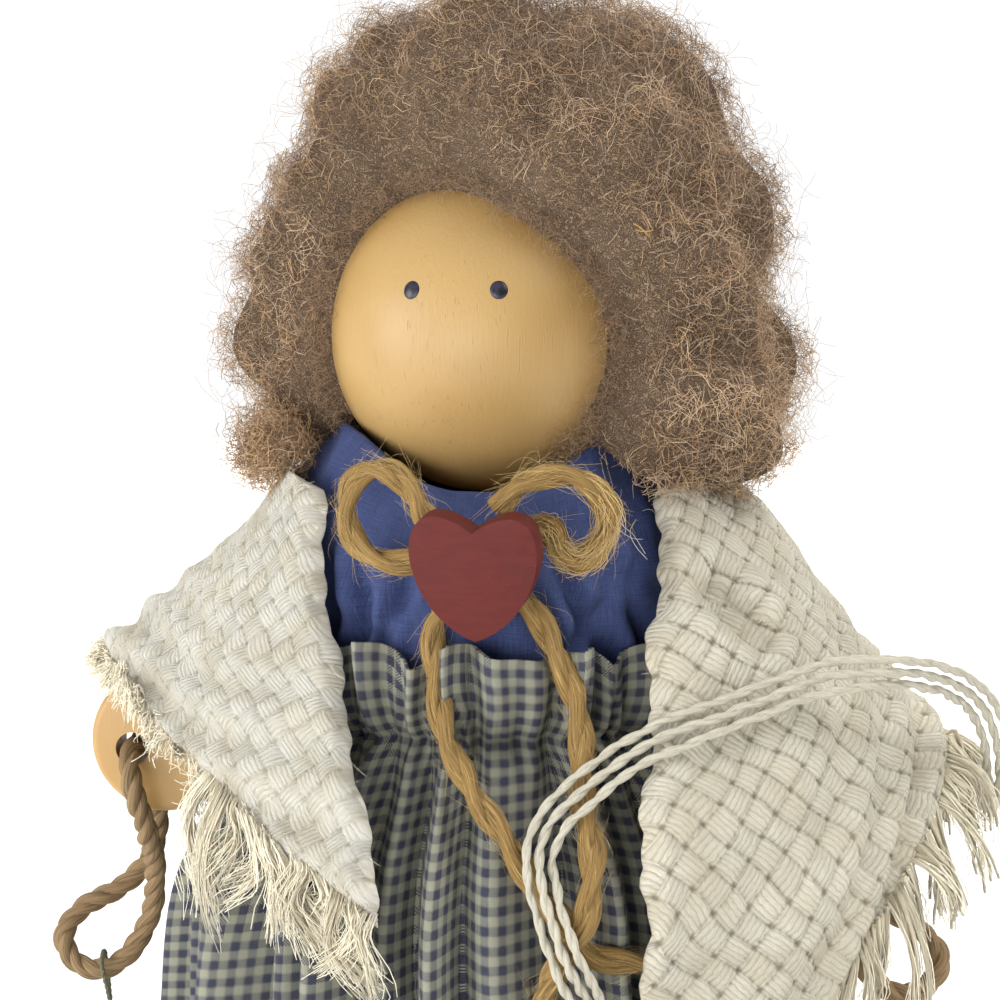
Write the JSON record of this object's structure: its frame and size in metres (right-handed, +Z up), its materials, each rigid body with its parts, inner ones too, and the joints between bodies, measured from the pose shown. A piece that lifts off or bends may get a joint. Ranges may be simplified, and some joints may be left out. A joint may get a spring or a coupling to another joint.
{
  "type": "wooden doll",
  "caption": "Standing country-style wooden doll with a ball head, woolly hair, pinned swinging arms, gathered check skirt, fringed shawl, twine bow and painted heart.",
  "frame": {"origin": "centre of the turned body's flat base, on the floor", "axes": "+Z up through the neck dowel, -Y the way the body faces, +X the doll's left"},
  "size_m": [0.1943, 0.15, 0.2862],
  "materials": {
    "torso": "satin paint over turned wood",
    "neck_dowel": "bare wood",
    "head": "satin paint with the wood grain showing",
    "hair": "loose curly wool",
    "arm_right": "satin paint over wood",
    "arm_left": "satin paint over wood",
    "shoulder_pin_right": "bare wood",
    "shoulder_pin_left": "bare wood",
    "blouse": "plain woven cotton",
    "skirt": "woven cotton check",
    "shawl": "coarse basket-weave cotton with a frayed edge",
    "heart": "matt paint",
    "bow_knot": "twisted jute",
    "bow_loop_right": "twisted jute",
    "bow_loop_left": "twisted jute",
    "bow_tail_right": "twisted jute",
    "bow_tail_left": "twisted jute",
    "yarn_1": "twisted cotton yarn",
    "yarn_2": "twisted cotton yarn",
    "yarn_3": "twisted cotton yarn",
    "hand_cord_right": "twisted fibre cord",
    "hand_cord_left": "twisted fibre cord",
    "tie_thread": "fine twisted thread",
    "shoe_right": "satin paint",
    "shoe_left": "satin paint"
  },
  "bodies": {
    "body": {"torso": "torso", "neck_dowel": "neck_dowel", "shoulder_pin_right": "shoulder_pin_right", "shoulder_pin_left": "shoulder_pin_left", "blouse": "blouse", "skirt": "skirt", "shawl": "shawl", "heart": "heart", "bow_knot": "bow_knot", "bow_loop_right": "bow_loop_right", "bow_loop_left": "bow_loop_left", "bow_tail_right": "bow_tail_right", "bow_tail_left": "bow_tail_left", "yarn_1": "yarn_1", "yarn_2": "yarn_2", "yarn_3": "yarn_3", "shoe_right": "shoe_right", "shoe_left": "shoe_left"},
    "head": {"head": "head", "hair": "hair"},
    "arm_right": {"arm_right": "arm_right", "hand_cord_right": "hand_cord_right", "tie_thread": "tie_thread"},
    "arm_left": {"arm_left": "arm_left", "hand_cord_left": "hand_cord_left"}
  },
  "joints": [
    {"name": "head_turn", "type": "hinge", "parent": "body", "child": "head", "pos_m": [0, 0, 0.2], "axis": [0, 0, 1], "range_deg": [-25, 25]},
    {"name": "right_shoulder", "type": "hinge", "parent": "body", "child": "arm_right", "pos_m": [-0.0295, 0.004, 0.177], "axis": [0, 1, 0], "range_deg": [0, 35], "deforming": ["shawl"]},
    {"name": "left_shoulder", "type": "hinge", "parent": "body", "child": "arm_left", "pos_m": [0.0295, 0.004, 0.177], "axis": [0, -1, 0], "range_deg": [0, 35], "deforming": ["shawl"]}
  ]
}
